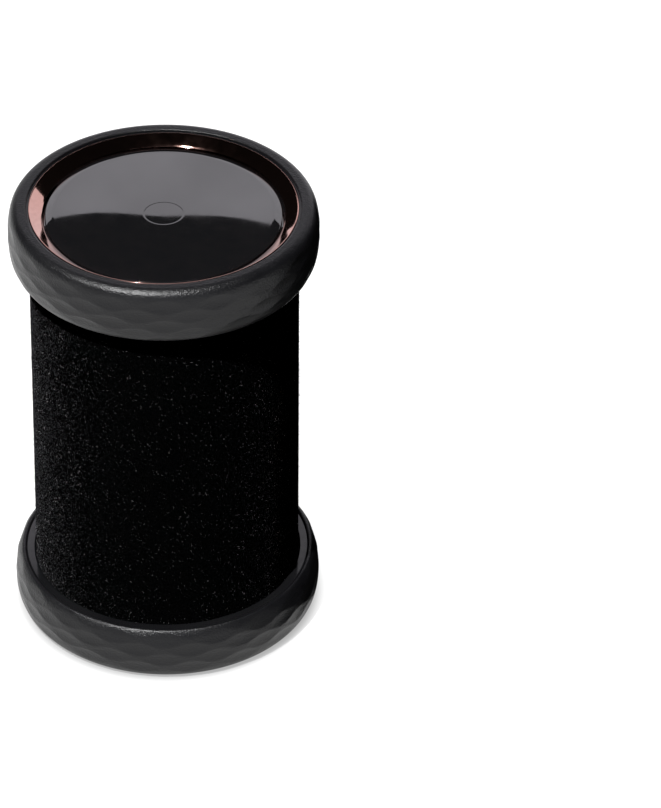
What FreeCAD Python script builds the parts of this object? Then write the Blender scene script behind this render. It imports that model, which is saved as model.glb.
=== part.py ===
"""A heated hair roller: a velvet-covered aluminium barrel with a wax heat store, between two soft grip ends.

Millimetres, +Z up. The origin is the middle of the circle that the roller stands on, and the roller's
axis is the Z axis. The lower end is open for a heating post and the upper end is closed by a disc.
The two ends mirror each other, so heights on an end are measured inward from that end's outer face.
"""

import FreeCAD
import Part
import Sketcher
import math
import os

SCREW_COUNT = 3
RIB_COUNT = 8

DIMENSIONS = {
    # the whole roller
    "overall_height": 78.8,
    "barrel_radius": 22.25,
    "flock_depth": 0.75,
    "tube_wall": 0.8,
    "fit_gap": 0.05,
    # grip rings, in from the end face
    "grip_height": 9.8,
    "grip_bore": 23.1,
    "grip_bore_chamfer": 0.2,
    "grip_land_outer": 23.65,
    "grip_bevel_radius": 24.7,
    "grip_bevel_depth": 0.6,
    "grip_nose_round": 1.4,
    "grip_shoulder_radius": 25.3,
    "grip_nose_depth": 1.6,
    "grip_belly_round": 18.0,
    "grip_tail_depth": 8.0,
    "grip_tail_round": 4.0,
    "grip_edge_radius": 24.4,
    "grip_counterbore": 24.0,
    "grip_counterbore_depth": 8.0,
    # end frames, in from the end face
    "frame_lip_depth": 0.3,
    "frame_lip_round": 0.3,
    "frame_recess": 22.1,
    "frame_socket": 22.35,
    "frame_flange_depth": 9.55,
    "frame_web_outer": 4.0,
    "frame_web_inner": 6.0,
    "spigot_wall": 1.4,
    "spigot_depth": 7.5,
    # disc and trim, in from the upper end face
    "trim_lip_depth": 0.1,
    "trim_lip_round": 0.15,
    "trim_foot_depth": 2.6,
    "trim_edge_radius": 19.85,
    "trim_edge_depth": 1.45,
    "disc_radius": 19.43,
    "disc_depth": 1.6,
    "disc_edge_round": 0.4,
    "disc_flange_radius": 21.9,
    "disc_flange_depth": 3.4,
    "gate_mark_radius": 3.44,
    "gate_mark_depth": 0.08,
    "pad_outer": 20.5,
    "pad_inner": 12.0,
    # heat core and wax chamber, up from the floor
    "bore_radius": 12.5,
    "core_wall": 1.0,
    "core_foot": 5.0,
    "bore_top": 62.0,
    "core_top": 68.0,
    "rib_thickness": 1.2,
    "rib_top": 64.0,
    "wax_top": 65.0,
    "seal_thickness": 1.5,
    "upper_seal_foot": 66.0,
    "bulkhead_thickness": 1.5,
    # base plate and bush, up from the floor
    "base_foot": 0.8,
    "base_plate_top": 2.4,
    "base_rim_wall": 1.2,
    "mouth_radius": 14.65,
    "mouth_lead_in": 0.8,
    "bush_flange_radius": 15.9,
    # screws
    "upper_screw_circle": 8.0,
    "upper_screw_tip": 64.5,
    "lower_screw_circle": 18.4,
    "lower_screw_tip": 7.3,
    "screw_radius": 1.2,
    "screw_clearance": 1.35,
    "screw_head_radius": 2.2,
    "screw_head_height": 1.2,
    "counterbore_radius": 2.4,
    "screw_boss_radius": 2.2,
    "recess_width": 0.55,
    "recess_length": 2.6,
    "recess_depth": 0.7,
}


class Length:
    """A length as both a number and a spreadsheet formula, so that drawings start right and stay bound."""

    def __init__(self, value, formula):
        self.value = value
        self.formula = formula

    def __add__(self, other):
        return Length(self.value + other.value, f"({self.formula} + {other.formula})")

    def __sub__(self, other):
        return Length(self.value - other.value, f"({self.formula} - {other.formula})")


def dim(alias):
    return Length(DIMENSIONS[alias], f"dims.{alias}")


ZERO = Length(0.0, "0")


def end_height(depth, upper):
    """The height of a point that lies `depth` in from the upper or the lower end face."""
    return dim("overall_height") - depth if upper else depth


def fill_sheet(document):
    sheet = document.addObject("Spreadsheet::Sheet", "dims")
    for row, (alias, value) in enumerate(DIMENSIONS.items(), start=1):
        sheet.set(f"A{row}", alias)
        sheet.set(f"B{row}", str(value))
        sheet.setAlias(f"B{row}", alias)
    document.recompute()


def origin_plane(body, role):
    return next(plane for plane in body.Origin.OriginFeatures if plane.Role == role)


def add_sketch(body, name, role, height=None):
    sketch = body.newObject("Sketcher::SketchObject", name)
    sketch.AttachmentSupport = (origin_plane(body, role), [""])
    sketch.MapMode = "FlatFace"
    if height is not None:
        sketch.AttachmentOffset.Base.z = height.value
        sketch.setExpression(".AttachmentOffset.Base.z", height.formula)
    return sketch


def bind(sketch, constraint, formula):
    """Adds a driving constraint and ties its size to the spreadsheet."""
    index = sketch.addConstraint(constraint)
    sketch.setExpression(f"Constraints[{index}]", formula)


def pin_point(sketch, geometry, end, across, up):
    """Fixes one end of a sketch edge at (across, up) from the sketch's origin."""
    for kind, size, axis in (("DistanceX", across, -2), ("DistanceY", up, -1)):
        if abs(size.value) < 1e-9:
            sketch.addConstraint(Sketcher.Constraint("PointOnObject", geometry, end, axis))
        else:
            bind(sketch, Sketcher.Constraint(kind, -1, 1, geometry, end, size.value), size.formula)


def edge_between(start, finish, bend):
    """A straight edge, or an arc: bend is None or (radius, side), and side is 1 for a bulge to the left
    of the way from start to finish, -1 for a bulge to the right."""
    a = FreeCAD.Vector(start[0].value, start[1].value, 0)
    b = FreeCAD.Vector(finish[0].value, finish[1].value, 0)
    if bend is None:
        return Part.LineSegment(a, b)
    radius, side = bend
    chord = b - a
    half = chord.Length / 2
    sagitta = radius.value - math.sqrt(radius.value ** 2 - half ** 2)
    left = FreeCAD.Vector(-chord.y, chord.x, 0).normalize()
    return Part.Arc(a, a + chord * 0.5 + left * sagitta * side, b)


def end_nearest(sketch, geometry, corner):
    target = FreeCAD.Vector(corner[0].value, corner[1].value, 0)
    return min((1, 2), key=lambda end: (sketch.getPoint(geometry, end) - target).Length)


def draw_outline(sketch, corners):
    """Draws a closed outline. A corner is (radius, height) or (radius, height, bend to the next corner)."""
    count = len(corners)
    bends = [corner[2] if len(corner) > 2 else None for corner in corners]
    edges = [edge_between(corners[i], corners[(i + 1) % count], bends[i]) for i in range(count)]
    sketch.addGeometry(edges, False)
    for i, corner in enumerate(corners):
        before = (i - 1) % count
        start = end_nearest(sketch, i, corner)
        finish = end_nearest(sketch, before, corner)
        sketch.addConstraint(Sketcher.Constraint("Coincident", before, finish, i, start))
        pin_point(sketch, i, start, corner[0], corner[1])
        if bends[i] is not None:
            radius = bends[i][0]
            bind(sketch, Sketcher.Constraint("Radius", i, radius.value), radius.formula)


def turned_body(document, label, corners):
    """A body turned about Z from an outline in the half plane x > 0."""
    body = document.addObject("PartDesign::Body", label)
    sketch = add_sketch(body, f"{label}_outline", "XZ_Plane")
    draw_outline(sketch, corners)
    turn = body.newObject("PartDesign::Revolution", f"{label}_turn")
    turn.Profile = sketch
    turn.ReferenceAxis = (sketch, ["V_Axis"])
    turn.Angle = 360
    sketch.Visibility = False
    document.recompute()
    return body


def circle_sketch(body, name, circle_radius, hole_radius, height):
    """One circle on the X axis at `circle_radius`, in a level sketch at `height`."""
    sketch = add_sketch(body, name, "XY_Plane", height)
    centre = FreeCAD.Vector(circle_radius.value, 0, 0)
    sketch.addGeometry(Part.Circle(centre, FreeCAD.Vector(0, 0, 1), hole_radius.value), False)
    bind(sketch, Sketcher.Constraint("Radius", 0, hole_radius.value), hole_radius.formula)
    bind(sketch, Sketcher.Constraint("DistanceX", -1, 1, 0, 3, centre.x), circle_radius.formula)
    sketch.addConstraint(Sketcher.Constraint("PointOnObject", 0, 3, -1))
    return sketch


def extrude_around(document, body, kind, sketch, length, upward, count):
    """Pads or pockets a sketch by `length` and repeats it `count` times about Z, checking that it acted."""
    volume_before = body.Shape.Volume
    feature = body.newObject(f"PartDesign::{kind}", f"{sketch.Name}_{kind.lower()}")
    feature.Profile = sketch
    feature.Length = length.value
    feature.setExpression("Length", length.formula)
    feature.Reversed = upward if kind == "Pocket" else not upward
    document.recompute()
    pattern = body.newObject("PartDesign::PolarPattern", f"{sketch.Name}_pattern")
    pattern.Originals = [feature]
    pattern.Axis = (sketch, ["N_Axis"])
    pattern.Angle = 360
    pattern.Occurrences = count
    body.Tip = pattern
    sketch.Visibility = False
    document.recompute()
    change = body.Shape.Volume - volume_before
    if change * (1 if kind == "Pad" else -1) <= 0:
        raise RuntimeError(f"{feature.Name} changed nothing")


def holes_around(document, body, name, circle, radius, start, length):
    """A ring of round holes that run up from the height `start`."""
    sketch = circle_sketch(body, name, dim(circle), dim(radius), start)
    extrude_around(document, body, "Pocket", sketch, length, True, SCREW_COUNT)


def make_grip_ring(document, label, upper):
    """Soft ring: a flat land, a bevel, a nose, a long belly and a tail, hollow to sit on its end frame."""
    side = -1 if upper else 1

    def corner(radius, depth, bend=None):
        place = (dim(radius), end_height(depth, upper))
        return place if bend is None else place + ((dim(bend), -side),)

    corners = [
        (dim("grip_bore") + dim("grip_bore_chamfer"), end_height(ZERO, upper)),
        (dim("grip_land_outer"), end_height(ZERO, upper)),
        corner("grip_bevel_radius", dim("grip_bevel_depth"), "grip_nose_round"),
        corner("grip_shoulder_radius", dim("grip_nose_depth"), "grip_belly_round"),
        corner("grip_shoulder_radius", dim("grip_tail_depth"), "grip_tail_round"),
        corner("grip_edge_radius", dim("grip_height")),
        corner("grip_counterbore", dim("grip_height")),
        corner("grip_counterbore", dim("grip_counterbore_depth")),
        corner("grip_bore", dim("grip_counterbore_depth")),
        corner("grip_bore", dim("grip_bore_chamfer")),
    ]
    return turned_body(document, label, corners)


def make_end_frame(document, label, upper):
    """Moulded frame: an H section with the barrel's socket inside and the recess for the cover outside."""
    side = -1 if upper else 1
    lip = dim("frame_lip_round")
    lip_bend = (lip, -side)
    tube_bore = dim("barrel_radius") - dim("flock_depth") - dim("tube_wall")
    spigot_outer = tube_bore - dim("fit_gap")

    def corner(radius, depth, bend=None):
        place = (radius, end_height(depth, upper))
        return place if bend is None else place + (bend,)

    lip_depth = dim("frame_lip_depth")
    corners = [
        corner(dim("frame_recess"), dim("frame_web_outer")),
        corner(dim("frame_recess"), lip_depth + lip, lip_bend),
        corner(dim("frame_recess") + lip, lip_depth),
        corner(dim("grip_bore") - lip, lip_depth, lip_bend),
        corner(dim("grip_bore"), lip_depth + lip),
        corner(dim("grip_bore"), dim("grip_counterbore_depth")),
        corner(dim("grip_counterbore"), dim("grip_counterbore_depth")),
        corner(dim("grip_counterbore"), dim("frame_flange_depth") - lip, lip_bend),
        corner(dim("grip_counterbore") - lip, dim("frame_flange_depth")),
        corner(dim("frame_socket"), dim("frame_flange_depth")),
        corner(dim("frame_socket"), dim("frame_web_inner")),
    ]
    if upper:
        corners += [
            corner(spigot_outer, dim("frame_web_inner")),
            corner(spigot_outer, dim("spigot_depth")),
            corner(spigot_outer - dim("spigot_wall"), dim("spigot_depth")),
            corner(spigot_outer - dim("spigot_wall"), dim("frame_web_inner")),
        ]
        middle = ZERO
    else:
        middle = dim("mouth_radius")
    corners += [
        corner(middle, dim("frame_web_inner")),
        corner(middle, dim("frame_web_outer")),
    ]
    return turned_body(document, label, corners)


def make_trim_ring(document):
    """Bevel ring that slopes in and down from a rounded lip to the disc."""
    outer = dim("frame_recess") - dim("fit_gap")
    lip_round = dim("trim_lip_round")
    lip = dim("trim_lip_depth")
    return turned_body(document, "trim_ring", [
        (outer, end_height(dim("trim_foot_depth"), True)),
        (outer, end_height(lip + lip_round, True), (lip_round, -1)),
        (outer - lip_round, end_height(lip, True)),
        (dim("trim_edge_radius"), end_height(dim("trim_edge_depth"), True)),
        (dim("trim_edge_radius"), end_height(dim("trim_foot_depth"), True)),
    ])


def make_top_disc(document):
    """Cover disc with a rounded edge, a flange under the trim ring and a round mark in the middle."""
    top = dim("disc_depth")
    corners = [
        (ZERO, end_height(dim("disc_flange_depth"), True)),
        (dim("disc_flange_radius"), end_height(dim("disc_flange_depth"), True)),
        (dim("disc_flange_radius"), end_height(dim("trim_foot_depth"), True)),
        (dim("disc_radius"), end_height(dim("trim_foot_depth"), True)),
        (dim("disc_radius"), end_height(top + dim("disc_edge_round"), True), (dim("disc_edge_round"), -1)),
        (dim("disc_radius") - dim("disc_edge_round"), end_height(top, True)),
        (dim("gate_mark_radius"), end_height(top, True)),
        (dim("gate_mark_radius"), end_height(top + dim("gate_mark_depth"), True)),
        (ZERO, end_height(top + dim("gate_mark_depth"), True)),
    ]
    return turned_body(document, "top_disc", corners)


def ring_corners(inner, outer, foot, top):
    return [(inner, foot), (outer, foot), (outer, top), (inner, top)]


def make_upper_closure(document):
    """Foam pad, insulator and bulkhead, stacked between the cover disc and the core."""
    web_top = end_height(dim("frame_web_outer"), True)
    web_foot = end_height(dim("frame_web_inner"), True)
    turned_body(document, "disc_pad", ring_corners(
        dim("pad_inner"), dim("pad_outer"), web_top, end_height(dim("disc_flange_depth"), True)))

    tube_bore = dim("barrel_radius") - dim("flock_depth") - dim("tube_wall")
    bulkhead_top = dim("core_top") + dim("bulkhead_thickness")
    insulator_radius = tube_bore - dim("fit_gap") - dim("spigot_wall") - dim("fit_gap")
    insulator = turned_body(document, "insulator_disc", ring_corners(
        ZERO, insulator_radius, bulkhead_top, web_foot))

    core_radius = dim("bore_radius") + dim("core_wall") + dim("fit_gap")
    seal_top = dim("upper_seal_foot") + dim("seal_thickness")
    bulkhead = turned_body(document, "upper_bulkhead", [
        (ZERO, dim("core_top")),
        (core_radius, dim("core_top")),
        (core_radius, seal_top),
        (tube_bore - dim("fit_gap"), seal_top),
        (tube_bore - dim("fit_gap"), bulkhead_top),
        (ZERO, bulkhead_top),
    ])
    for body, start, top in ((insulator, bulkhead_top, web_foot), (bulkhead, dim("core_top"), bulkhead_top)):
        holes_around(document, body, f"{body.Name}_holes", "upper_screw_circle", "screw_clearance",
                     start, top - start)


def make_heat_core(document):
    """Ribbed core: a blind bore for the heating post under a solid head with three screw holes."""
    bore = dim("bore_radius")
    wall = bore + dim("core_wall")
    core = turned_body(document, "heat_core", [
        (bore, dim("core_foot")),
        (wall, dim("core_foot")),
        (wall, dim("core_top")),
        (ZERO, dim("core_top")),
        (ZERO, dim("bore_top")),
        (bore, dim("bore_top")),
    ])
    tube_bore = dim("barrel_radius") - dim("flock_depth") - dim("tube_wall")
    ribs = rib_sketch(core, "core_rib", wall - dim("core_wall"), tube_bore - dim("fit_gap"),
                      dim("rib_thickness"))
    extrude_around(document, core, "Pad", ribs, dim("rib_top") - chamber_foot(), True, RIB_COUNT)
    holes_around(document, core, "core_screw_holes", "upper_screw_circle", "screw_clearance",
                 dim("upper_screw_tip") - dim("fit_gap"),
                 dim("core_top") - dim("upper_screw_tip") + dim("fit_gap"))
    return core


def chamber_foot():
    """The floor of the wax chamber: the top of the lower seal."""
    return dim("frame_web_inner") + dim("bulkhead_thickness") + dim("seal_thickness")


def rib_sketch(body, name, inner, outer, thickness):
    """A long rectangle along X for one rib, drawn on the floor of the wax chamber."""
    sketch = add_sketch(body, name, "XY_Plane", chamber_foot())
    half = thickness.value / 2
    places = [(inner.value, -half), (outer.value, -half), (outer.value, half), (inner.value, half)]
    points = [FreeCAD.Vector(x, y, 0) for x, y in places]
    sketch.addGeometry([Part.LineSegment(points[i], points[(i + 1) % 4]) for i in range(4)], False)
    for i in range(4):
        sketch.addConstraint(Sketcher.Constraint("Coincident", i, 2, (i + 1) % 4, 1))
    for edge in (0, 2):
        sketch.addConstraint(Sketcher.Constraint("Horizontal", edge))
    sketch.addConstraint(Sketcher.Constraint("Vertical", 3))
    sketch.addConstraint(Sketcher.Constraint("Symmetric", 1, 1, 1, 2, -1))
    bind(sketch, Sketcher.Constraint("DistanceX", -1, 1, 0, 1, inner.value), inner.formula)
    bind(sketch, Sketcher.Constraint("DistanceX", -1, 1, 0, 2, outer.value), outer.formula)
    bind(sketch, Sketcher.Constraint("DistanceY", 1, 1, 1, 2, thickness.value), thickness.formula)
    return sketch


def make_wax_charge(document):
    """The wax around the core, slotted for the ribs and joined over their tops."""
    core_outer = dim("bore_radius") + dim("core_wall") + dim("fit_gap")
    tube_bore = dim("barrel_radius") - dim("flock_depth") - dim("tube_wall")
    wax = turned_body(document, "wax_charge", ring_corners(
        core_outer, tube_bore - dim("fit_gap"), chamber_foot(), dim("wax_top")))
    slot = rib_sketch(wax, "wax_slot", core_outer - dim("core_wall"), tube_bore + dim("tube_wall"),
                      dim("rib_thickness") + dim("fit_gap") + dim("fit_gap"))
    extrude_around(document, wax, "Pocket", slot, dim("rib_top") - chamber_foot() + dim("fit_gap"),
                   True, RIB_COUNT)
    return wax


def make_seals(document):
    core_outer = dim("bore_radius") + dim("core_wall") + dim("fit_gap")
    tube_bore = dim("barrel_radius") - dim("flock_depth") - dim("tube_wall")
    feet = {
        "lower_core_seal": dim("frame_web_inner") + dim("bulkhead_thickness"),
        "upper_core_seal": dim("upper_seal_foot"),
    }
    for label, foot in feet.items():
        turned_body(document, label, ring_corners(
            core_outer, tube_bore - dim("fit_gap"), foot, foot + dim("seal_thickness")))


def make_barrel(document):
    """The aluminium tube and the flocked sleeve that is bonded to it."""
    tube_outer = dim("barrel_radius") - dim("flock_depth")
    foot = dim("frame_web_inner")
    top = end_height(foot, True)
    turned_body(document, "barrel_tube", ring_corners(tube_outer - dim("tube_wall"), tube_outer, foot, top))
    turned_body(document, "velvet_sleeve", ring_corners(
        tube_outer, dim("barrel_radius"), foot + dim("fit_gap"), top - dim("fit_gap")))


def make_lower_bulkhead(document):
    core_outer = dim("bore_radius") + dim("core_wall") + dim("fit_gap")
    tube_bore = dim("barrel_radius") - dim("flock_depth") - dim("tube_wall")
    foot = dim("frame_web_inner")
    bulkhead = turned_body(document, "lower_bulkhead", ring_corners(
        core_outer, tube_bore - dim("fit_gap"), foot, foot + dim("bulkhead_thickness")))
    holes_around(document, bulkhead, "lower_bulkhead_holes", "lower_screw_circle", "screw_clearance",
                 foot, dim("bulkhead_thickness"))


def make_mouth_bush(document):
    """Guide bush with a lead-in chamfer and a flange clamped between base plate and frame."""
    bore = dim("bore_radius")
    outer = dim("mouth_radius") - dim("fit_gap")
    flange = dim("bush_flange_radius")
    turned_body(document, "mouth_bush", [
        (bore + dim("mouth_lead_in"), dim("base_foot")),
        (outer, dim("base_foot")),
        (outer, dim("base_plate_top")),
        (flange, dim("base_plate_top")),
        (flange, dim("frame_web_outer")),
        (outer, dim("frame_web_outer")),
        (outer, dim("core_foot")),
        (bore, dim("core_foot")),
        (bore, dim("base_foot") + dim("mouth_lead_in")),
    ])


def make_base_plate(document):
    """Annular cover with a rim that seats on the frame and a boss around each screw."""
    outer = dim("frame_recess") - dim("fit_gap")
    rim = outer - dim("base_rim_wall")
    foot = dim("base_foot")
    plate_top = dim("base_plate_top")
    seat = dim("frame_web_outer")
    plate = turned_body(document, "base_plate", [
        (dim("mouth_radius"), foot),
        (outer, foot),
        (outer, seat),
        (rim, seat),
        (rim, plate_top),
        (dim("mouth_radius"), plate_top),
    ])
    boss = circle_sketch(plate, "base_boss", dim("lower_screw_circle"), dim("screw_boss_radius"), plate_top)
    extrude_around(document, plate, "Pad", boss, seat - plate_top, True, SCREW_COUNT)
    holes_around(document, plate, "base_holes", "lower_screw_circle", "screw_clearance", foot, seat - foot)
    holes_around(document, plate, "base_counterbores", "lower_screw_circle", "counterbore_radius",
                 foot, dim("screw_head_height"))


def drill_end_frames(document, lower_frame, upper_frame):
    """Screw holes through both webs, counterbored for the heads in the upper one."""
    web = dim("frame_web_inner") - dim("frame_web_outer")
    holes_around(document, lower_frame, "lower_web_holes", "lower_screw_circle", "screw_clearance",
                 dim("frame_web_outer"), web)
    web_foot = end_height(dim("frame_web_inner"), True)
    head_foot = end_height(dim("frame_web_outer"), True) - dim("screw_head_height")
    holes_around(document, upper_frame, "upper_web_holes", "upper_screw_circle", "screw_clearance",
                 web_foot, web)
    holes_around(document, upper_frame, "upper_web_counterbores", "upper_screw_circle",
                 "counterbore_radius", head_foot, dim("screw_head_height"))


def bound_solid(document, kind, name, sizes, place):
    """A Part primitive with its sizes and position tied to the spreadsheet."""
    solid = document.addObject(f"Part::{kind}", name)
    for size_name, length in sizes.items():
        solid.setExpression(size_name, length.formula)
    for axis, length in zip("xyz", place):
        if length is not None:
            solid.setExpression(f".Placement.Base.{axis}", length.formula)
    return solid


def make_screw(document, name, circle, tip, head_foot, head_up):
    """One cross-recess screw standing on its circle along +X."""
    head = dim("screw_head_height")
    recess = dim("recess_depth")
    shank_foot, shank_length = (tip, head_foot - tip) if head_up else (head_foot + head, tip - head_foot - head)
    radius = dim(circle)
    shank = bound_solid(document, "Cylinder", f"{name}_shank",
                        {"Radius": dim("screw_radius"), "Height": shank_length}, (radius, None, shank_foot))
    cap = bound_solid(document, "Cylinder", f"{name}_head",
                      {"Radius": dim("screw_head_radius"), "Height": head}, (radius, None, head_foot))
    blank = document.addObject("Part::Fuse", f"{name}_blank")
    blank.Base, blank.Tool = shank, cap
    recess_foot = head_foot + head - recess if head_up else head_foot
    half_long = Length(dim("recess_length").value / 2, "(dims.recess_length / 2)")
    half_wide = Length(dim("recess_width").value / 2, "(dims.recess_width / 2)")
    slots = []
    for across, along, half_x, half_y in (
        ("recess_length", "recess_width", half_long, half_wide),
        ("recess_width", "recess_length", half_wide, half_long),
    ):
        sideways = Length(-half_y.value, f"(-{half_y.formula})")
        slots.append(bound_solid(document, "Box", f"{name}_{across}",
                                 {"Length": dim(across), "Width": dim(along), "Height": recess},
                                 (radius - half_x, sideways, recess_foot)))
    cross = document.addObject("Part::Fuse", f"{name}_cross")
    cross.Base, cross.Tool = slots
    screw = document.addObject("Part::Cut", name)
    screw.Base, screw.Tool = blank, cross
    return screw


def make_screw_ring(document, label, circle, tip, head_foot, head_up):
    """A ring of screws around Z as one node: each screw is drawn on +X and turned about the axis."""
    screws = []
    for i in range(SCREW_COUNT):
        screw = make_screw(document, f"{label}_{i + 1}", circle, tip, head_foot, head_up)
        turn = FreeCAD.Rotation(FreeCAD.Vector(0, 0, 1), 360 * i / SCREW_COUNT)
        screw.Placement = FreeCAD.Placement(FreeCAD.Vector(0, 0, 0), turn)
        screws.append(screw)
    ring = document.addObject("Part::Compound", label)
    ring.Links = screws


def build(document):
    fill_sheet(document)
    make_barrel(document)
    make_heat_core(document)
    make_wax_charge(document)
    make_seals(document)
    make_upper_closure(document)
    make_lower_bulkhead(document)
    make_mouth_bush(document)
    make_base_plate(document)
    upper_frame = make_end_frame(document, "upper_end_frame", True)
    lower_frame = make_end_frame(document, "lower_end_frame", False)
    drill_end_frames(document, lower_frame, upper_frame)
    make_grip_ring(document, "upper_grip_ring", True)
    make_grip_ring(document, "lower_grip_ring", False)
    make_trim_ring(document)
    make_top_disc(document)
    upper_head = end_height(dim("frame_web_outer"), True) - dim("screw_head_height")
    make_screw_ring(document, "upper_screws", "upper_screw_circle", dim("upper_screw_tip"), upper_head, True)
    make_screw_ring(document, "lower_screws", "lower_screw_circle", dim("lower_screw_tip"),
                    dim("base_foot"), False)
    document.recompute()


NODES = [
    "velvet_sleeve", "barrel_tube", "heat_core", "wax_charge", "lower_core_seal", "upper_core_seal",
    "lower_bulkhead", "upper_bulkhead", "insulator_disc", "disc_pad", "upper_end_frame", "lower_end_frame",
    "upper_grip_ring", "lower_grip_ring", "trim_ring", "top_disc", "mouth_bush", "base_plate",
    "upper_screws", "lower_screws",
]


def check(document):
    """Stops the build if any object failed quietly or any node has no sound shape."""
    for item in document.Objects:
        if "Invalid" in item.State or "Error" in item.State:
            raise RuntimeError(f"{item.Name} failed: {item.State}")
    for label in NODES:
        shape = document.getObjectsByLabel(label)[0].Shape
        if shape.isNull() or not shape.isValid() or shape.Volume <= 0:
            raise RuntimeError(f"{label} has no valid shape")


def export(document):
    os.makedirs("parts", exist_ok=True)
    for label in NODES:
        shape = document.getObjectsByLabel(label)[0].Shape
        shape.exportStep(os.path.join("parts", f"{label}.step"))
        box = shape.BoundBox
        print(f"{label:18s} {len(shape.Solids)} solid(s) {shape.Volume:9.1f} mm3  z {box.ZMin:.2f}..{box.ZMax:.2f}")


roller = FreeCAD.newDocument("hair_roller")
build(roller)
check(roller)
export(roller)
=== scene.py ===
"""The looks of the heated hair roller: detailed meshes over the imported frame, materials, lights and camera.

Outlines are in millimetres, as (radius, height) points turned about the roller's axis, and become metres
when a mesh is made. Angles around the roller start at the front (-Y) and grow to the right (+X).
"""

import math

import bpy
import numpy as np
from mathutils import Matrix, Vector


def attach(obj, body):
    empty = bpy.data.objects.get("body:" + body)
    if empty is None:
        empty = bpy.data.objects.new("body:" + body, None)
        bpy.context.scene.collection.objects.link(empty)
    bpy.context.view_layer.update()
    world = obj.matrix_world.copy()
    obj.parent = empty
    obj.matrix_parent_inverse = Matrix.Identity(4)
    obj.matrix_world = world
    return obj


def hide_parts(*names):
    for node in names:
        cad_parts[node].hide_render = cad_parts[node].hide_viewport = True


MM = 0.001
HEIGHT = 78.8
PLAIN_SEGMENTS = 360    # steps around the smooth turned pieces
ON_AXIS = 1e-6          # a point with less radius than this lies on the roller's axis
CORNER_SHARE = 0.45     # most of a side that one rounded corner may take

# velvet sleeve and its fibres
BARREL_RADIUS = 22.25
TUBE_RADIUS = 21.5
SLEEVE_FOOT = 6.05
SLEEVE_TOP = 72.75
SLEEVE_SHOULDER = 0.1   # chamfer at both ends of the velvet
SLEEVE_ROWS = 190
SLEEVE_SEGMENTS = 500
SLEEVE_UNEVENNESS = 0.06
SLEEVE_SEED = 11
FIBRE_MARGIN = 0.4      # strip at both ends of the sleeve where no fibre is rooted
FIBRE_ROOT = 0.05       # how deep a fibre is rooted in the velvet
FIBRE_CURL = 0.9        # most that a fibre turns along its length, in radians
FIBRE_JOINTS = 3
FIBRE_SIDES = 3

# grip rings
RING_SEGMENTS = 810
RING_SPACING = 0.13     # step along the ring's outline
ROW_DEPTHS = (2.7, 4.5, 6.35, 8.2)      # scoop rows, in from the end face
SCOOPS_PER_ROW = 18
SCOOP_RADIUS = 25.5     # where the width of a scoop is measured
SCOOP_LEAST_RADIUS = 24.6               # nothing is cut inside this
SCOOP_HALF_WIDTH = 4.0
SCOOP_HALF_HEIGHT = 1.25
SCOOP_DEPTH = 0.155

# top disc
DISC_TOP = 77.25
DISC_CROWN = 0.02       # how far the disc falls from its middle to the start of its edge
DISC_CROWN_RADIUS = 18.1                # where that edge starts
MARK_RADIUS = 3.3       # the crown stops here, at the step around the round mark
MARK_TOP = 77.2483

# studio, in metres
FLOOR_REACH = 6.0
# painted contact shadow around the roller's foot: the floor's glow is dimmed near it and full in the open
FLOOR_PAINTED_SHADOW_RADII = (0.0242, 0.0272)    # the floor's glow rises from the first to the second
FLOOR_GLOW_IN_SHADOW_AND_OPEN = (0.45, 1.03)
BACKDROP_DISTANCE = 0.6
BACKDROP_STRENGTH = 1.02
BACKDROP_UNEVENNESS = 0.09
ROOM_DISTANCE = 1.5
ROOM_STRENGTH = 0.55
CLOUDS_PER_METRE = 40
# grey of the curved flag and of the painted floor shadow card
FLAG_AND_PAINTED_SHADOW_GREY = (0.5, 0.5, 0.5)
FLAG_RADIUS = 0.0255
FLAG_CENTRE = (0.0524, 0.006)
FLAG_HEIGHT = 0.079
FLAG_STRENGTH = 0.01
FLAG_STEPS = 24
# a painted floor shadow to the right of the roller, seen only by the roller's surfaces
PAINTED_FLOOR_SHADOW_STRENGTH = 0.04
KEY_LOCATION = (-0.330, -0.60, 1.235)
KEY_SIZE = 0.04
KEY_WATTS = 48
KEY_AIM = (0, 0, 0.05)

# camera
SENSOR_WIDTH = 36.0
FOCAL_LENGTH = 270.53
NEAR_LIMIT = 0.05       # in metres
CAMERA_PLACE = (27.54, -822.54, 634.54)
CAMERA_DOWN = 0.62666   # tilt below level, in radians
CAMERA_ROLL = 0.0081    # in radians

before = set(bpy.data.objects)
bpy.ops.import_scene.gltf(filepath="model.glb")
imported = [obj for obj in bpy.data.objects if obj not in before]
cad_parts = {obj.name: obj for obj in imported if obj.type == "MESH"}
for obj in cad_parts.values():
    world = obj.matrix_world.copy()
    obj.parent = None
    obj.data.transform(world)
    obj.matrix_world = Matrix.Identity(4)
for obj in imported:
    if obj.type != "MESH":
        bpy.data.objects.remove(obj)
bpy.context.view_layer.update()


# ---------------------------------------------------------------- meshes

def add_object(name, vertices, faces, material, smooth=True):
    """A mesh object in the scene, from vertices in metres."""
    mesh = bpy.data.meshes.new(name)
    mesh.from_pydata(vertices, [], faces)
    mesh.materials.append(material)
    mesh.polygons.foreach_set("use_smooth", [smooth] * len(mesh.polygons))
    mesh.update()
    piece = bpy.data.objects.new(name, mesh)
    bpy.context.scene.collection.objects.link(piece)
    return piece


def place(piece, slot, *nodes):
    """Rides a piece on the roller's only body, in place of CAD nodes if any are named."""
    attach(piece, "root")
    if nodes:
        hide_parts(*nodes)
    return piece


def rounded(outline, radius, steps=3):
    """Rounds every corner of a closed outline, by less where its sides are short. Points on the axis stay."""
    points = [Vector(point) for point in outline]
    result = []
    for i, corner in enumerate(points):
        before = points[i - 1] - corner
        after = points[(i + 1) % len(points)] - corner
        if corner.x < ON_AXIS:
            result.append(corner)
            continue
        reach = min(radius, before.length * CORNER_SHARE, after.length * CORNER_SHARE)
        start = corner + before.normalized() * reach
        finish = corner + after.normalized() * reach
        for step in range(steps + 1):
            t = step / steps
            result.append(start * (1 - t) ** 2 + corner * 2 * t * (1 - t) + finish * t ** 2)
    return [(point.x, point.y) for point in result]


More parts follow.
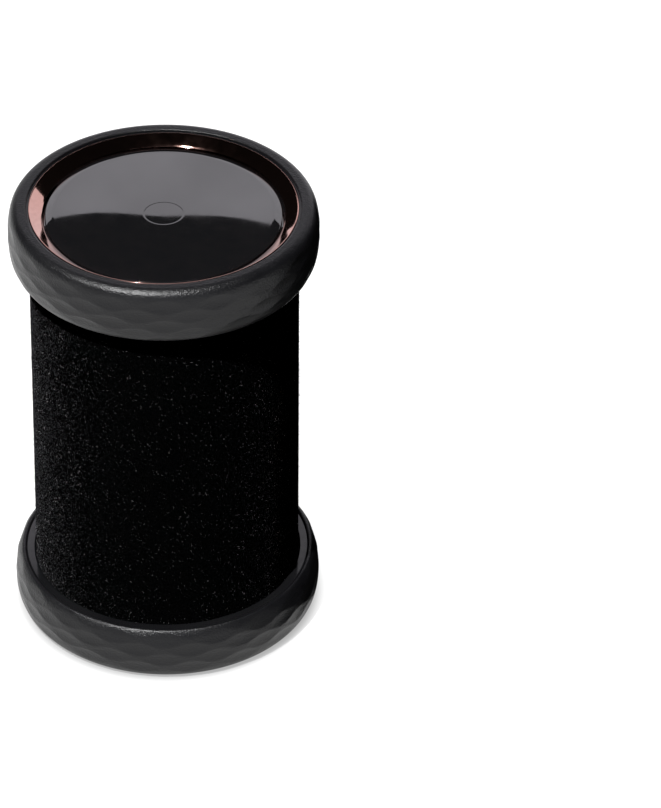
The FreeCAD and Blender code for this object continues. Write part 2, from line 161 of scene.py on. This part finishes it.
def smooth_curve(points, spacing):
    """A Catmull-Rom curve through points, sampled at about the given spacing."""
    points = [Vector(point) for point in points]
    padded = [points[0] * 2 - points[1]] + points + [points[-1] * 2 - points[-2]]
    result = []
    for a, b, c, d in zip(padded, padded[1:], padded[2:], padded[3:]):
        steps = max(1, round((c - b).length / spacing))
        for step in range(steps):
            t = step / steps
            result.append(0.5 * (2 * b + (c - a) * t + (2 * a - 5 * b + 4 * c - d) * t * t
                                 + (3 * b - a - 3 * c + d) * t ** 3))
    result.append(points[-1])
    return [(point.x, point.y) for point in result]


def outline_normals(outline):
    """Outward normals of a closed outline that runs anticlockwise, weighted by the length of each side."""
    points = np.array(outline)
    sides = np.roll(points, -1, axis=0) - points
    outward = np.stack([sides[:, 1], -sides[:, 0]], axis=1)
    normals = outward + np.roll(outward, 1, axis=0)
    return normals / np.maximum(np.linalg.norm(normals, axis=1, keepdims=True), 1e-9)


def turned(name, outline, material, segments=PLAIN_SEGMENTS, relief=None):
    """A closed mesh turned about Z. Its normals are those of the outline, unless it has a relief.

    relief(radius, height, angles) gives how far the points of one turn are pushed inward, in mm.
    """
    points = np.array(outline)
    normals = outline_normals(outline)
    angles = np.arange(segments) * (2 * math.pi / segments)
    vertices, vertex_normals, rows = [], [], []
    for (radius, height), normal in zip(points, normals):
        if radius < ON_AXIS:
            rows.append([len(vertices)] * segments)
            vertices.append((0, 0, height * MM))
            vertex_normals.append((0, 0, math.copysign(1, normal[1])))
            continue
        inward = relief(radius, height, angles) if relief else np.zeros(segments)
        around = (radius - inward * normal[0]) * MM
        up = (height - inward * normal[1]) * MM
        rows.append(list(range(len(vertices), len(vertices) + segments)))
        vertices.extend(zip(np.sin(angles) * around, -np.cos(angles) * around, up))
        vertex_normals.extend(zip(np.sin(angles) * normal[0], -np.cos(angles) * normal[0],
                                  np.full(segments, normal[1])))
    faces = []
    for lower, upper in zip(rows, rows[1:] + rows[:1]):
        if lower[0] == lower[1] and upper[0] == upper[1]:
            continue
        for i in range(segments):
            j = (i + 1) % segments
            corners = (lower[i], lower[j], upper[j], upper[i])
            faces.append(tuple(dict.fromkeys(corners)))
    piece = add_object(name, [tuple(map(float, v)) for v in vertices], faces, material)
    if relief is None:
        piece.data.normals_split_custom_set_from_vertices(vertex_normals)
    return piece


# ---------------------------------------------------------------- materials

def new_material(name, color, roughness, **inputs):
    """A Principled material. Further inputs are named with underscores for spaces."""
    material = bpy.data.materials.new(name)
    material.use_nodes = True
    shader = material.node_tree.nodes["Principled BSDF"]
    shader.inputs["Base Color"].default_value = (*color, 1)
    shader.inputs["Roughness"].default_value = roughness
    for key, value in inputs.items():
        shader.inputs[key.replace("_", " ")].default_value = value
    return material


def add_node(material, kind, values=None, **links):
    """Adds a node, sets its inputs from a dict and links named inputs from other nodes' sockets."""
    node = material.node_tree.nodes.new(kind)
    for key, value in (values or {}).items():
        if key in node.inputs:
            node.inputs[key].default_value = value
        else:
            setattr(node, key, value)
    for key, socket in links.items():
        material.node_tree.links.new(socket, node.inputs[key.replace("_", " ")])
    return node


def noise(material, scale, detail=2.0, stretch=(1, 1, 1)):
    """A noise value over the object's own metres, so that scale is in features per metre."""
    coordinates = add_node(material, "ShaderNodeTexCoord")
    mapping = add_node(material, "ShaderNodeMapping", {"Scale": stretch},
                       Vector=coordinates.outputs["Object"])
    texture = add_node(material, "ShaderNodeTexNoise", {"Scale": scale, "Detail": detail},
                       Vector=mapping.outputs["Vector"])
    return texture.outputs["Fac"]


def spread(material, value, low, high, start=0.3, finish=0.7):
    """Maps a value between start and finish, such as a noise, onto the range low to high."""
    ranged = add_node(material, "ShaderNodeMapRange",
                      {"From Min": start, "From Max": finish, "To Min": low, "To Max": high}, Value=value)
    return ranged.outputs["Result"]


def tint(material, value, dark, light):
    """Blends between two colours by a value."""
    ramp = add_node(material, "ShaderNodeValToRGB", Fac=value)
    ramp.color_ramp.elements[0].position = 0.3
    ramp.color_ramp.elements[1].position = 0.7
    ramp.color_ramp.elements[0].color = (*dark, 1)
    ramp.color_ramp.elements[1].color = (*light, 1)
    return ramp.outputs["Color"]


def drive(material, **sockets):
    """Links sockets to the material's shader inputs."""
    shader = material.node_tree.nodes["Principled BSDF"]
    for key, socket in sockets.items():
        material.node_tree.links.new(socket, shader.inputs[key.replace("_", " ")])


def add_bump(material, value, strength, distance):
    """Shades the surface as if it stood distance metres high where the value is 1."""
    bump = add_node(material, "ShaderNodeBump", {"Strength": strength, "Distance": distance}, Height=value)
    drive(material, Normal=bump.outputs["Normal"])


def make_velvet():
    """Black that takes no light but for the grainy sheen of its fibres."""
    material = new_material("black_velvet", (0.001, 0.001, 0.001), 0.95, Specular_IOR_Level=0.0,
                            Sheen_Roughness=0.3, Sheen_Tint=(0.75, 0.74, 0.78, 1))
    grain = noise(material, 4200, 2)
    drive(material, Base_Color=tint(material, grain, (0.0001, 0.0001, 0.0001), (0.0012, 0.0012, 0.0013)),
          Sheen_Weight=spread(material, grain, 0.0, 0.19, 0.5, 0.72))
    add_bump(material, grain, 0.9, 0.0003)
    return material


def make_lint():
    """The lint's fibres run from nearly black to pale."""
    material = new_material("pale_lint", (0.05, 0.05, 0.055), 0.8, Specular_IOR_Level=0.1)
    shade = tint(material, noise(material, 700), (0.003, 0.003, 0.004), (0.38, 0.38, 0.39))
    drive(material, Base_Color=shade)
    return material


def make_rubber():
    """Near black, with a fine grain that breaks up its soft highlights."""
    material = new_material("soft_touch_rubber", (0.003, 0.003, 0.0035), 0.36, Specular_IOR_Level=0.31)
    grain = noise(material, 3600, 2)
    wear = noise(material, 260, 3)
    drive(material, Roughness=spread(material, wear, 0.33, 0.39),
          Base_Color=tint(material, wear, (0.0025, 0.0025, 0.0031), (0.0038, 0.0038, 0.0045)))
    add_bump(material, grain, 1.0, 0.0001)
    return material


def make_gloss():
    """Moulded gloss black with a very slight ripple."""
    material = new_material("gloss_black", (0.004, 0.004, 0.0045), 0.1, IOR=1.47)
    ripple = noise(material, 90, 1)
    drive(material, Roughness=spread(material, noise(material, 700, 3), 0.08, 0.13),
          Base_Color=tint(material, ripple, (0.0035, 0.0035, 0.004), (0.005, 0.005, 0.0055)))
    add_bump(material, ripple, 0.05, 0.0002)
    return material


def make_disc_gloss():
    """Smoother and more reflective than the frames' gloss black."""
    material = new_material("disc_gloss_black", (0.004, 0.004, 0.0045), 0.02, IOR=2.04)
    haze = noise(material, 420, 4)
    drive(material, Roughness=spread(material, haze, 0.01, 0.02),
          Base_Color=tint(material, haze, (0.0037, 0.0037, 0.0042), (0.0045, 0.0043, 0.0047)))
    return material


def make_rose_gold():
    """Mirror-like pink plating."""
    material = new_material("rose_gold", (0.595, 0.352, 0.301), 0.06, Metallic=1.0)
    haze = noise(material, 500, 3)
    drive(material, Roughness=spread(material, haze, 0.04, 0.08),
          Base_Color=tint(material, haze, (0.583, 0.344, 0.294), (0.608, 0.360, 0.308)))
    add_bump(material, noise(material, 240, 2), 0.006, 0.0002)
    return material


def make_satin(name, color, roughness, grain_scale, strength=0.25, metallic=0.0, stretch=(1, 1, 1)):
    """Moulded or machined surface with a fine grain."""
    material = new_material(name, color, roughness, Metallic=metallic)
    grain = noise(material, grain_scale, 3, stretch)
    dark = tuple(0.85 * channel for channel in color)
    light = tuple(1.15 * channel for channel in color)
    drive(material, Roughness=spread(material, grain, roughness - 0.05, roughness + 0.05),
          Base_Color=tint(material, grain, dark, light))
    add_bump(material, grain, strength, 0.0001)
    return material


# ---------------------------------------------------------------- pieces

def end_side(points, upper):
    """Turns (radius, depth from the end face) points into an anticlockwise outline at that end."""
    if upper:
        return [(radius, HEIGHT - depth) for radius, depth in reversed(points)]
    return list(points)


def scoop_relief(upper, phases):
    """The relief of the shallow lens-shaped scoops. phases turns each row, in degrees."""
    pitch = 2 * math.pi / SCOOPS_PER_ROW

    def relief(radius, height, angles):
        inward = np.zeros(len(angles))
        if radius < SCOOP_LEAST_RADIUS:
            return inward
        depth = HEIGHT - height if upper else height
        for row_depth, phase in zip(ROW_DEPTHS, phases):
            off = abs(depth - row_depth)
            if off > SCOOP_HALF_HEIGHT:
                continue
            turn = (angles - math.radians(phase) + pitch / 2) % pitch - pitch / 2
            along = turn * SCOOP_RADIUS / SCOOP_HALF_WIDTH
            edge = SCOOP_HALF_HEIGHT * (1 - along ** 2)
            cut = SCOOP_DEPTH * (edge ** 2 - off ** 2) / SCOOP_HALF_HEIGHT ** 2
            inward = np.maximum(inward, np.where(edge > off, cut, 0))
        return inward

    return relief


def make_grip_ring(name, upper, phases, material):
    """A rubber ring: the flat land of its end face, its bulging side with the scoops, and its inside."""
    land = [(22.56, 0.30), (22.56, 0.13), (22.60, 0.04), (22.70, 0.0), (23.05, 0.0), (23.60, 0.0)]
    if upper:
        side = [
            (23.85, 0.02), (24.12, 0.09), (24.40, 0.22), (24.74, 0.48), (25.01, 0.82), (25.21, 1.30),
            (25.39, 2.10), (25.55, 3.40), (25.60, 4.80), (25.54, 6.20), (25.42, 7.30), (25.22, 8.40),
            (24.95, 9.10), (24.62, 9.62), (24.45, 9.77), (24.30, 9.80),
        ]
    else:
        side = [
            (23.85, 0.05), (24.10, 0.16), (24.40, 0.40), (24.78, 0.80), (25.12, 1.30), (25.45, 2.10),
            (25.69, 3.40), (25.77, 4.80), (25.72, 6.20), (25.60, 7.30), (25.36, 8.40), (25.03, 9.10),
            (24.65, 9.62), (24.46, 9.77), (24.30, 9.80),
        ]
    skin = smooth_curve(land + side, RING_SPACING)
    inside = [
        (24.08, 9.74), (24.02, 9.62), (24.0, 9.3), (24.0, 8.0), (23.1, 8.0), (23.1, 0.33), (22.59, 0.33),
    ]
    outline = end_side(skin + inside, upper)
    ring = turned(name, outline, material, RING_SEGMENTS, scoop_relief(upper, phases))
    return place(ring, "soft_touch_rubber", name)


def make_end_frame(name, upper, material):
    """The moulded frame under a grip ring: its lip, its wall, its collar and its inner floor."""
    points = [
        (22.1, 4.0), (22.1, 0.52), (22.16, 0.42), (22.24, 0.36), (22.44, 0.35), (23.08, 0.36),
        (23.08, 8.02), (23.97, 8.02), (23.97, 9.24), (23.92, 9.44), (23.76, 9.54), (22.60, 9.55),
        (22.42, 9.48), (22.35, 9.32), (22.35, 6.0),
    ]
    if upper:
        points += [(20.65, 6.0), (20.65, 7.5), (19.25, 7.5), (19.25, 6.0), (0, 6.0), (0, 4.0)]
    else:
        points += [(14.65, 6.0), (14.65, 4.0)]
    outline = rounded(end_side(points, upper), 0.06)
    return place(turned(name, outline, material), "gloss_black", name)


def make_trim(material):
    """The bevel ring, with a rounded lip at the top and a straight wall where it sits on the disc."""
    bevel = smooth_curve([
        (22.13, 78.28), (22.15, 78.37), (22.14, 78.45), (22.10, 78.505), (22.03, 78.52), (21.95, 78.50),
        (21.40, 78.175), (21.00, 77.927), (20.60, 77.667), (20.30, 77.463), (20.10, 77.313), (19.93, 77.155),
    ], 0.07)
    outline = [(19.92, 76.2), (22.07, 76.2), (22.07, 78.2)] + bevel + [(19.922, 77.146)]
    return place(turned("trim_ring", outline, material), "rose_gold", "trim_ring")


def make_disc(material):
    """The disc: a flange under the trim, a rounded edge, a very flat crown and the faint round mark."""
    edge = [(19.43, 76.60), (19.43, 76.90), (19.41, 76.96)]
    edge += smooth_curve(
        [(19.36, 77.00), (19.15, 77.060), (18.9, 77.118), (18.6, 77.177), (18.3, 77.222)], 0.05)
    fall = DISC_CROWN / DISC_CROWN_RADIUS ** 2
    radii = np.linspace(DISC_CROWN_RADIUS, MARK_RADIUS, 60)
    crown = [(radius, DISC_TOP - fall * radius ** 2) for radius in radii]
    mark = [(3.21, 77.2484)] + [(radius, MARK_TOP) for radius in (3.12, 2.9, 1.5, 0)]
    outline = [(0, 75.4), (21.9, 75.4), (21.9, 76.18), (19.43, 76.18)] + edge + crown + mark
    return place(turned("top_disc", outline, material), "gloss_black", "top_disc")


def make_sleeve(material):
    """The velvet as a thick sleeve whose outer skin is finely uneven."""
    rng = np.random.default_rng(SLEEVE_SEED)
    shoulder_radius = BARREL_RADIUS - SLEEVE_SHOULDER
    heights = np.linspace(SLEEVE_FOOT + SLEEVE_SHOULDER, SLEEVE_TOP - SLEEVE_SHOULDER, SLEEVE_ROWS)
    outline = [(TUBE_RADIUS, SLEEVE_TOP), (TUBE_RADIUS, SLEEVE_FOOT), (shoulder_radius, SLEEVE_FOOT)]
    outline += [(BARREL_RADIUS, height) for height in heights]
    outline += [(shoulder_radius, SLEEVE_TOP)]

    def relief(radius, height, angles):
        if radius <= shoulder_radius:
            return np.zeros(len(angles))
        return rng.uniform(0, SLEEVE_UNEVENNESS, len(angles))

    sleeve = turned("velvet_sleeve", outline, material, SLEEVE_SEGMENTS, relief)
    return place(sleeve, "black_velvet", "velvet_sleeve")


def make_fibres(name, material, count, seed, length, thickness, lean):
    """Short curved fibres rooted in the velvet, each a closed three-sided strand that ends in a point.

    length, thickness (a half width) and lean (radians up from the surface) are ranges to draw from.
    """
    rng = np.random.default_rng(seed)
    vertices, faces = [], []
    for _ in range(count):
        angle = rng.uniform(0, 2 * math.pi)
        height = rng.uniform(SLEEVE_FOOT + FIBRE_MARGIN, SLEEVE_TOP - FIBRE_MARGIN)
        outward = Vector((math.sin(angle), -math.cos(angle), 0))
        across = Vector((math.cos(angle), math.sin(angle), 0))
        heading = rng.uniform(0, 2 * math.pi)
        along = across * math.cos(heading) + Vector((0, 0, math.sin(heading)))
        tilt = rng.uniform(*lean)
        curl = rng.uniform(-FIBRE_CURL, FIBRE_CURL)
        reach = rng.uniform(*length)
        girth = rng.uniform(*thickness)
        point = outward * (BARREL_RADIUS - FIBRE_ROOT) + Vector((0, 0, height))
        first = len(vertices)
        for joint in range(FIBRE_JOINTS):
            bend = curl * joint / FIBRE_JOINTS
            turned_along = along * math.cos(bend) + outward.cross(along) * math.sin(bend)
            direction = (turned_along * math.cos(tilt) + outward * math.sin(tilt)).normalized()
            side = direction.cross(outward).normalized()
            other = direction.cross(side)
            width = girth * (1 - 0.5 * joint / FIBRE_JOINTS)
            for corner in range(FIBRE_SIDES):
                turn = corner * 2 * math.pi / FIBRE_SIDES
                beside = point + side * math.cos(turn) * width
                vertices.append((beside + other * math.sin(turn) * width) * MM)
            point = point + direction * (reach / FIBRE_JOINTS)
        vertices.append(point * MM)
        faces.append((first + 2, first + 1, first))
        for joint in range(FIBRE_JOINTS - 1):
            for corner in range(FIBRE_SIDES):
                a = first + joint * FIBRE_SIDES + corner
                b = first + joint * FIBRE_SIDES + (corner + 1) % FIBRE_SIDES
                faces.append((a, b, b + FIBRE_SIDES, a + FIBRE_SIDES))
        last = first + (FIBRE_JOINTS - 1) * FIBRE_SIDES
        tip = last + FIBRE_SIDES
        for corner in range(FIBRE_SIDES):
            faces.append((last + corner, last + (corner + 1) % FIBRE_SIDES, tip))
    piece = add_object(name, [tuple(v) for v in vertices], faces, material)
    return place(piece, "black_velvet")


def build_object():
    """The visible pieces get new meshes. The hidden ones keep their CAD shapes and get materials."""
    velvet = make_velvet()
    gloss = make_gloss()
    rubber = make_rubber()
    make_sleeve(velvet)
    make_fibres("velvet_pile", velvet, count=9000, seed=3,
                length=(0.16, 0.36), thickness=(0.020, 0.032), lean=(0.5, 1.4))
    make_fibres("velvet_lint", make_lint(), count=12000, seed=5,
                length=(0.08, 0.28), thickness=(0.012, 0.025), lean=(0.02, 0.8))
    make_grip_ring("upper_grip_ring", upper=True, phases=(1.7, 11.5, 1.7, 11.5), material=rubber)
    make_grip_ring("lower_grip_ring", upper=False, phases=(10.4, 0.0, 10.4, 0.0), material=rubber)
    make_end_frame("upper_end_frame", upper=True, material=gloss)
    make_end_frame("lower_end_frame", upper=False, material=gloss)
    make_trim(make_rose_gold())
    make_disc(make_disc_gloss())

    aluminium = make_satin("barrel_aluminium", (0.80, 0.81, 0.82), 0.32, 3000,
                           strength=0.2, metallic=1.0, stretch=(1, 1, 0.05))
    screw_steel = make_satin("screw_steel", (0.55, 0.55, 0.56), 0.35, 3000, strength=0.15, metallic=1.0)
    silicone = make_satin("silicone", (0.45, 0.12, 0.08), 0.55, 1500)
    kept = {
        "barrel_tube": aluminium,
        "heat_core": aluminium,
        "lower_bulkhead": aluminium,
        "upper_bulkhead": aluminium,
        "wax_charge": make_satin("wax", (0.83, 0.79, 0.68), 0.5, 400),
        "lower_core_seal": silicone,
        "upper_core_seal": silicone,
        "insulator_disc": make_satin("insulator_board", (0.45, 0.38, 0.28), 0.8, 900),
        "disc_pad": make_satin("foam", (0.1, 0.1, 0.1), 0.9, 2500),
        "mouth_bush": make_satin("heat_resin", (0.03, 0.03, 0.03), 0.55, 1800),
        "base_plate": make_satin("satin_black", (0.018, 0.018, 0.019), 0.42, 2600),
        "upper_screws": screw_steel,
        "lower_screws": screw_steel,
    }
    for node, material in kept.items():
        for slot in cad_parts[node].material_slots:
            slot.material = material


# ---------------------------------------------------------------- studio

def make_floor():
    """A pale floor that glows like a lit table top, with a painted contact shadow: its glow dims softly
    around the roller's foot.
    """
    material = new_material("pale_floor", (0.12, 0.12, 0.12), 0.9, Specular_IOR_Level=0.0,
                            Emission_Color=(1, 1, 1, 1))
    coordinates = add_node(material, "ShaderNodeTexCoord")
    distance = add_node(material, "ShaderNodeVectorMath", {"operation": "LENGTH"},
                        Vector=coordinates.outputs["Object"])
    # painted contact shadow: the glow dims near the roller's foot
    glow = spread(material, distance.outputs["Value"], *FLOOR_GLOW_IN_SHADOW_AND_OPEN, *FLOOR_PAINTED_SHADOW_RADII)
    glow.node.interpolation_type = "SMOOTHSTEP"
    shade = tint(material, noise(material, CLOUDS_PER_METRE), (0.115, 0.115, 0.115), (0.125, 0.125, 0.125))
    drive(material, Base_Color=shade, Emission_Strength=glow)
    corners = [(-FLOOR_REACH, -FLOOR_REACH, 0), (FLOOR_REACH, -FLOOR_REACH, 0),
               (FLOOR_REACH, FLOOR_REACH, 0), (-FLOOR_REACH, FLOOR_REACH, 0)]
    floor = add_object("floor", corners, [(0, 1, 2, 3)], material, smooth=False)
    floor.visible_diffuse = False


def add_card(name, corners, color, strength, shadow=False, diffuse=True, faces=None, uneven=0.0):
    """A bright or dark card that the camera does not see. It is one face unless faces are given.

    uneven is the share by which its strength varies in soft clouds.
    """
    material = bpy.data.materials.new(name)
    material.use_nodes = True
    tree = material.node_tree
    tree.nodes.clear()
    glow = tree.nodes.new("ShaderNodeEmission")
    glow.inputs["Color"].default_value = (*color, 1)
    glow.inputs["Strength"].default_value = strength
    output = tree.nodes.new("ShaderNodeOutputMaterial")
    tree.links.new(glow.outputs["Emission"], output.inputs["Surface"])
    if uneven:
        clouds = noise(material, CLOUDS_PER_METRE)
        level = spread(material, clouds, strength * (1 - uneven), strength * (1 + uneven))
        tree.links.new(level, glow.inputs["Strength"])
    card = add_object(name, corners, faces or [tuple(range(len(corners)))], material, smooth=False)
    card.visible_camera = False
    card.visible_shadow = shadow
    card.visible_diffuse = diffuse


def add_curved_flag():
    """A dark half round card close to the right side, where the next roller of a set would stand."""
    centre_x, centre_y = FLAG_CENTRE
    corners, faces = [], []
    for step in range(FLAG_STEPS + 1):
        turn = math.radians(-90 + 180 / FLAG_STEPS * step)
        x = centre_x - FLAG_RADIUS * math.cos(turn)
        y = centre_y + FLAG_RADIUS * math.sin(turn)
        corners += [(x, y, 0.0), (x, y, FLAG_HEIGHT)]
        if step:
            last = 2 * step
            faces.append((last - 2, last, last + 1, last - 1))
    add_card("flag", corners, FLAG_AND_PAINTED_SHADOW_GREY, FLAG_STRENGTH, shadow=True, faces=faces)


def add_painted_floor_shadow():
    """A dark card just above the floor, from the roller's right side to beyond the curved flag: a painted
    floor shadow, where the next roller would shade the floor, that the camera does not see but the roller's
    surfaces reflect.
    """
    near, far = -0.04, 0.05
    left, right = 0.0262, 0.07
    height = 0.0004
    corners = [(left, near, height), (right, near, height), (right, far, height), (left, far, height)]
    add_card("painted_floor_shadow", corners, FLAG_AND_PAINTED_SHADOW_GREY, PAINTED_FLOOR_SHADOW_STRENGTH)


def add_key_light():
    """The one lamp: small, high up and to the left of the camera, aimed at the roller."""
    light = bpy.data.lights.new("key", "AREA")
    light.shape = "DISK"
    light.size = KEY_SIZE
    light.energy = KEY_WATTS
    lamp = bpy.data.objects.new("key", light)
    lamp.location = KEY_LOCATION
    aim = Vector(KEY_AIM) - Vector(KEY_LOCATION)
    lamp.rotation_euler = aim.to_track_quat("-Z", "Y").to_euler()
    bpy.context.scene.collection.objects.link(lamp)


def make_world():
    """A nearly black surround, a little darker overhead."""
    world = bpy.data.worlds.new("studio")
    bpy.context.scene.world = world
    world.use_nodes = True
    tree = world.node_tree
    direction = tree.nodes.new("ShaderNodeTexCoord")
    parts = tree.nodes.new("ShaderNodeSeparateXYZ")
    tree.links.new(direction.outputs["Generated"], parts.inputs["Vector"])
    fade = tree.nodes.new("ShaderNodeValToRGB")
    tree.links.new(parts.outputs["Z"], fade.inputs["Fac"])
    fade.color_ramp.elements[0].position = 0.45
    fade.color_ramp.elements[0].color = (0.006, 0.006, 0.006, 1)
    fade.color_ramp.elements[1].position = 0.85
    fade.color_ramp.elements[1].color = (0.004, 0.004, 0.004, 1)
    tree.links.new(fade.outputs["Color"], tree.nodes["Background"].inputs["Color"])


def make_studio():
    """Floor with its painted contact shadow, world, the cards that the gloss black and the rose gold mirror,
    a painted floor shadow card, and the lamp.
    """
    make_floor()
    make_world()
    backdrop = [
        (-0.191, 0.0), (0.54, 0.0), (0.516, 0.400), (0.458, 0.513), (0.0143, 0.4885), (0.0085, 0.4869),
        (0.0035, 0.4856), (-0.003, 0.4847), (-0.012, 0.4845), (-0.0198, 0.4848), (-0.027, 0.4844),
        (-0.0345, 0.4837), (-0.0405, 0.4836), (-0.0465, 0.4844), (-0.051, 0.4854), (-0.054, 0.4864),
        (-0.33, 0.4878),
    ]
    add_card("backdrop", [(x, BACKDROP_DISTANCE, z) for x, z in backdrop], (1.0, 0.97, 1.04),
             BACKDROP_STRENGTH, uneven=BACKDROP_UNEVENNESS)
    room = [(-1.1, 0.0), (1.1, 0.0), (1.1, 1.75), (-1.1, 1.75)]
    add_card("room", [(x, -ROOM_DISTANCE, z) for x, z in room], (0.97, 1.0, 1.1),
             ROOM_STRENGTH, diffuse=False)
    add_curved_flag()
    add_painted_floor_shadow()
    add_key_light()
    bpy.context.scene.view_settings.view_transform = "Standard"


def make_camera():
    """A long lens in front of the roller, looking down at it."""
    camera_data = bpy.data.cameras.new("camera")
    camera_data.sensor_width = SENSOR_WIDTH
    camera_data.lens = FOCAL_LENGTH
    camera_data.clip_start = NEAR_LIMIT
    camera = bpy.data.objects.new("camera", camera_data)
    ahead = Vector((0, math.cos(CAMERA_DOWN), -math.sin(CAMERA_DOWN)))
    over = Vector((0, math.sin(CAMERA_DOWN), math.cos(CAMERA_DOWN)))
    right = Vector((1, 0, 0))
    x_axis = right * math.cos(CAMERA_ROLL) + over * math.sin(CAMERA_ROLL)
    y_axis = over * math.cos(CAMERA_ROLL) - right * math.sin(CAMERA_ROLL)
    rotation = Matrix((x_axis, y_axis, -ahead)).transposed()
    camera.matrix_world = Matrix.Translation(Vector(CAMERA_PLACE) * MM) @ rotation.to_4x4()
    bpy.context.scene.collection.objects.link(camera)
    bpy.context.scene.camera = camera


build_object()
make_studio()
make_camera()
